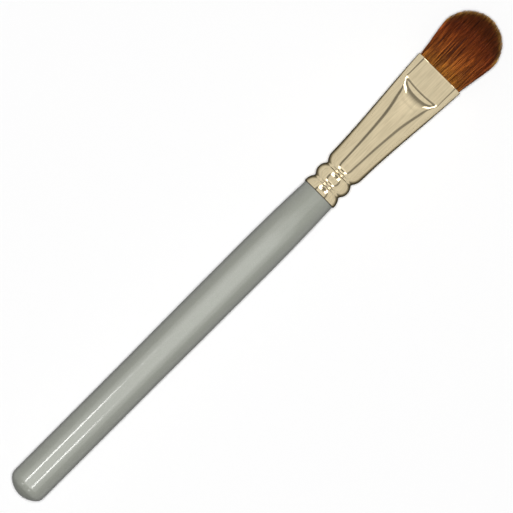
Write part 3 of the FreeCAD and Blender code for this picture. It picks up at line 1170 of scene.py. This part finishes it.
@dataclass
class Studio:
    """The floor, the light and the camera."""

    # the camera
    frame_width: float = 122.42 * MM
    frame_aside: float = 0.165 * MM
    lens: float = 400.0
    sensor: float = 36.0
    turn: float = math.radians(-45.02)
    clip: Pair = (0.01, 10.0)

    # the floor, whose colour for gloss holds a painted shadow in a band beside the brush
    floor_size: float = 6.0
    floor_white: float = 0.97
    floor_bounce: float = 0.15
    floor_dark: float = 0.26
    floor_shade: float = 20 * MM
    floor_shade_full: float = 0.5

    # the lamps
    fill: float = 0.06
    key_level: float = 0.97
    key_height: float = 1.8
    key_width: float = 0.40
    strips: tuple[StripLamp, ...] = (
        StripLamp("corner_left", Side.LEFT, 0.24, 0.50, 0.20, width=0.24, radiance=3.0),
        StripLamp("corner_right", Side.RIGHT, 0.27, 0.47, 0.20, width=0.18, radiance=3.0),
        StripLamp("tip_left", Side.LEFT, 0.52, 0.98, 0.32, width=0.18, radiance=4.0),
        StripLamp("tip_right", Side.RIGHT, 0.52, 0.98, 0.29, width=0.18, radiance=4.0),
        StripLamp("rear_left", Side.LEFT, -0.46, -0.92, 0.32, width=0.18, radiance=4.0),
        StripLamp("rear_right", Side.RIGHT, -0.46, -0.92, 0.29, width=0.18, radiance=4.0),
    )
    handle_strips: tuple[StripLamp, ...] = (
        StripLamp("butt_left", Side.LEFT, -0.066, -0.14, 0.25),
        StripLamp("butt_right", Side.RIGHT, -0.080, -0.14, 0.235),
        StripLamp("glow", Side.LEFT, -0.30, 0.03, 0.0, height=0.60, width=1.04, radiance=1.45),
        StripLamp("halo", Side.LEFT, -0.32, 0.06, 0.0, height=0.62, width=2.10, radiance=1.25),
    )

    # the tent's grey round the brush from side to side, along it from -1 to 1, and where that shows
    tent_across: Stops = greys(
        (0.268, 1.00), (0.284, 0.28), (0.330, 0.28), (0.350, 1.00),
        (0.672, 1.00), (0.690, 0.34), (0.732, 0.34), (0.752, 1.00),
    )
    tent_along: Stops = greys(
        (-0.93, 1.40), (-0.86, 1.40), (-0.82, 0.28), (-0.72, 0.28), (-0.67, 1.60), (-0.58, 1.40),
        (-0.50, 1.05), (-0.15, 0.97), (0.00, 0.97), (0.13, 0.96), (0.23, 1.16), (0.34, 0.92),
        (0.62, 0.34), (0.84, 0.32), (0.90, 1.05),
    )
    tent_middle: Stops = greys((0.38, 0.0), (0.43, 1.0), (0.57, 1.0), (0.62, 0.0))

    def build(self, metal: bpy.types.Object) -> None:
        """Sets up the whole studio.

        Args:
            metal: The piece that the handle's own lamps leave out.
        """
        bpy.context.scene.view_settings.view_transform = "Standard"
        self.lay_floor()
        self.raise_tent()
        self.hang_key()
        for strip in self.strips:
            self.hang_strip(strip)
        for strip in self.handle_strips:
            self.leave_out(self.hang_strip(strip), metal)
        self.set_camera()

    def lay_floor(self) -> None:
        """Lays the white floor that the brush rests on, which gloss sees with a painted shadow beside the
        brush.
        """
        shape = bmesh.new()
        bmesh.ops.create_grid(shape, x_segments=1, y_segments=1, size=self.floor_size / 2)
        mesh = bpy.data.meshes.new("floor")
        shape.to_mesh(mesh)
        shape.free()
        floor = put("floor", mesh)
        paint = Paint("white_floor")
        # painted shadow: gloss sees the floor darker within a band along the brush's axis
        _, aside, _ = paint.split(paint.place())
        reach = paint.math("DIVIDE", paint.math("ABSOLUTE", aside), self.floor_shade)
        painted_shadow = paint.ramp(reach, greys((self.floor_shade_full, self.floor_dark), (1.0, self.floor_white)))
        colour = paint.by_ray(grey(self.floor_white), gloss=painted_shadow, other=grey(self.floor_bounce))
        paint.feed(colour, "Base Color")
        paint.set(Roughness=1.0, Specular_IOR_Level=0.0)
        mesh.materials.append(paint.material)

    def raise_tent(self) -> None:
        """Puts a white tent with dark and bright bands round the brush for its gloss to show."""
        world = bpy.data.worlds.new("tent")
        world.use_nodes = True
        world.cycles.sampling_method = "NONE"
        bpy.context.scene.world = world
        tent = Nodes(world.node_tree)
        x, y, z = tent.split(tent.add("ShaderNodeTexCoord").outputs["Generated"])
        side = tent.math("SUBTRACT", 0.5, tent.math("DIVIDE", tent.math("ARCTAN2", y, z), math.pi))
        across = tent.ramp(side, self.tent_across)
        # a ramp runs from 0 to 1
        stops = tuple(((place + 1) / 2, colour) for place, colour in self.tent_along)
        along = tent.ramp(tent.math("ADD", tent.math("MULTIPLY", x, 0.5), 0.5), stops)
        shown = tent.multiply(across, tent.mix(tent.ramp(side, self.tent_middle), WHITE, along))
        colour = tent.by_ray(WHITE, gloss=shown, other=grey(self.fill))
        tent.links.new(colour, tent.nodes["Background"].inputs["Color"])

    def hang(self, lamp: bpy.types.Light, place: Vector, target: Vector) -> bpy.types.Object:
        """Hangs a lamp.

        Args:
            lamp: The lamp.
            place: Where it hangs.
            target: What it points at.

        Returns:
            The lamp's object, which the camera doesn't see.
        """
        hung = put(lamp.name, lamp)
        hung.location = place
        hung.rotation_euler = (target - place).to_track_quat("-Z", "Y").to_euler()
        hung.visible_camera = False
        return hung

    def hang_key(self) -> None:
        """Hangs the round lamp overhead, which lights everything and which no gloss shows."""
        lamp = bpy.data.lights.new("key", "AREA")
        lamp.shape = "DISK"
        lamp.size = self.key_width
        area = math.pi * self.key_width ** 2 / 4
        radiance = self.key_level * math.pi * self.key_height ** 2 / area
        lamp.energy = radiance * math.pi * area
        hung = self.hang(lamp, Vector((0.0, 0.0, self.key_height)), Vector((0.0, 0.0, 0.0)))
        hung.visible_glossy = False

    def hang_strip(self, strip: StripLamp) -> bpy.types.Object:
        """Hangs a strip lamp, turned to the brush's axis.

        Args:
            strip: The lamp and its place.

        Returns:
            The lamp's object.
        """
        middle = (strip.start + strip.end) / 2
        place = Vector((middle, strip.side.value * strip.aside, strip.height))
        hung = self.hang(strip.make(), place, Vector((middle, 0.0, 0.0)))
        hung.visible_diffuse = False
        return hung

    def leave_out(self, lamp: bpy.types.Object, piece: bpy.types.Object) -> None:
        """Keeps a lamp's light off one piece.

        Args:
            lamp: The lamp.
            piece: The piece that it doesn't light.
        """
        unlit = bpy.data.collections.new(lamp.name + "_leaves_out")
        unlit.objects.link(piece)
        unlit.collection_objects[0].light_linking.link_state = "EXCLUDE"
        lamp.light_linking.receiver_collection = unlit

    def set_camera(self) -> None:
        """Sets the camera straight above the brush, as the photograph has it."""
        low, high = CAD_BOX
        camera = bpy.data.cameras.new("camera")
        camera.lens = self.lens
        camera.sensor_width = self.sensor
        camera.clip_start, camera.clip_end = self.clip
        stand = put("camera", camera)
        distance = self.frame_width * self.lens / self.sensor
        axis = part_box("handle")[1][2] / 2
        stand.location = ((low[0] + high[0]) / 2 + self.frame_aside, 0.0, axis + distance)
        stand.rotation_euler = (0.0, 0.0, self.turn)
        bpy.context.scene.camera = stand


def main() -> None:
    """Builds and dresses the brush, reports its pieces and sets up the studio."""
    logging.basicConfig(level=logging.INFO)
    pieces = Handle().dress()
    ferrule = Ferrule()
    tube = ferrule.build()
    pieces += [tube, *ferrule.dress(), *HairBundle().build(HairFinish())]
    for piece in pieces:
        finish = piece.data.materials[0].name
        LOG.info("%s: %d faces, finished as %s", piece.name, len(piece.data.polygons), finish)
    Studio().build(tube)


if __name__ == "__main__":
    main()
